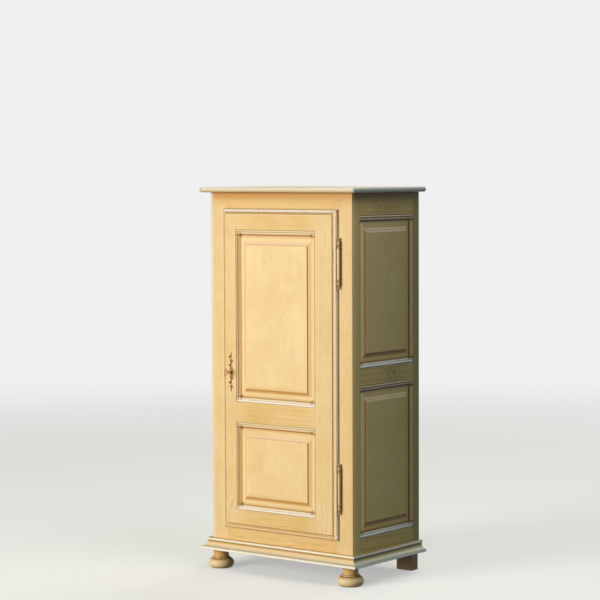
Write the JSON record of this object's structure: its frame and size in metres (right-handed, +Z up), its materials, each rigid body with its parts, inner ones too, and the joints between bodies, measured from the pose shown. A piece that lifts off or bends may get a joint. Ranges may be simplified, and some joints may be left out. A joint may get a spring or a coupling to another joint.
{
  "type": "bonnetiere cabinet",
  "caption": "Tall painted cabinet with one raised-panel door on turned-finial hinges, framed panelled sides, shelves, a moulded base and bun feet.",
  "frame": {"origin": "on the floor, at the centre of the cabinet's box in plan with the door shut and the key in its lock", "axes": "+Z up, -Y towards the front (the door's side), +X to the right as seen from the front"},
  "size_m": [0.756, 0.5008, 1.5],
  "materials": {
    "painted_wood": "hand-painted warm yellow with a brown glaze, satin",
    "bare_wood": "bare, waxed",
    "aged_brass": "aged, dark in the hollows",
    "lock_steel": "dull, oiled"
  },
  "bodies": {
    "carcass": {"back_boards": "bare_wood", "back_bottom_rail": "bare_wood", "back_top_rail": "bare_wood", "base_front_moulding": "painted_wood", "base_left_moulding": "painted_wood", "base_right_moulding": "painted_wood", "carcass_pegs": "painted_wood", "floor_board": "bare_wood", "frame_leaf_pins": "lock_steel", "front_bottom_rail": "painted_wood", "front_left_foot": "painted_wood", "front_left_post": "painted_wood", "front_right_foot": "painted_wood", "front_right_post": "painted_wood", "front_top_rail": "painted_wood", "hinge_foot_finials": "aged_brass", "hinge_pins": "lock_steel", "left_side_bottom_rail": "painted_wood", "left_side_lower_panel": "painted_wood", "left_side_middle_rail": "painted_wood", "left_side_top_rail": "painted_wood", "left_side_upper_panel": "painted_wood", "lower_frame_knuckle": "aged_brass", "lower_shelf": "bare_wood", "middle_shelf": "bare_wood", "rear_left_foot": "painted_wood", "rear_left_post": "painted_wood", "rear_right_foot": "painted_wood", "rear_right_post": "painted_wood", "right_side_bottom_rail": "painted_wood", "right_side_lower_panel": "painted_wood", "right_side_middle_rail": "painted_wood", "right_side_top_rail": "painted_wood", "right_side_upper_panel": "painted_wood", "shelf_cleats": "bare_wood", "strike_plate": "lock_steel", "strike_screws": "lock_steel", "top_board": "painted_wood", "upper_frame_knuckle": "aged_brass", "upper_shelf": "bare_wood"},
    "door": {"door_latch_stile": "painted_wood", "door_hinge_stile": "painted_wood", "door_top_rail": "painted_wood", "door_middle_rail": "painted_wood", "door_bottom_rail": "painted_wood", "door_upper_panel": "painted_wood", "door_lower_panel": "painted_wood", "door_pegs": "painted_wood", "upper_door_knuckle": "aged_brass", "lower_door_knuckle": "aged_brass", "hinge_cap_finials": "aged_brass", "door_leaf_pins": "lock_steel", "escutcheon": "aged_brass", "escutcheon_pins": "aged_brass", "lock_case": "lock_steel", "lock_screws": "lock_steel", "bolt_spring": "lock_steel"},
    "key": {"key": "aged_brass"},
    "bolt": {"lock_bolt": "lock_steel"}
  },
  "joints": [
    {"name": "door_swing", "type": "hinge", "parent": "carcass", "child": "door", "pos_m": [0.286, -0.19735, 0.79], "axis": [0, 0, 1], "range_deg": [0, 175]},
    {"name": "key_turn", "type": "hinge", "parent": "door", "child": "key", "pos_m": [-0.232, -0.20545, 0.782], "axis": [0, -1, 0], "range_deg": [0, 360]},
    {"name": "bolt_slide", "type": "slide", "parent": "door", "child": "bolt", "axis": [-1, 0, 0], "range_m": [0, 0.012]}
  ],
  "couplings": [
    {"joint": "key_turn", "follows": "bolt_slide", "rad_per_m": 523.59}
  ]
}
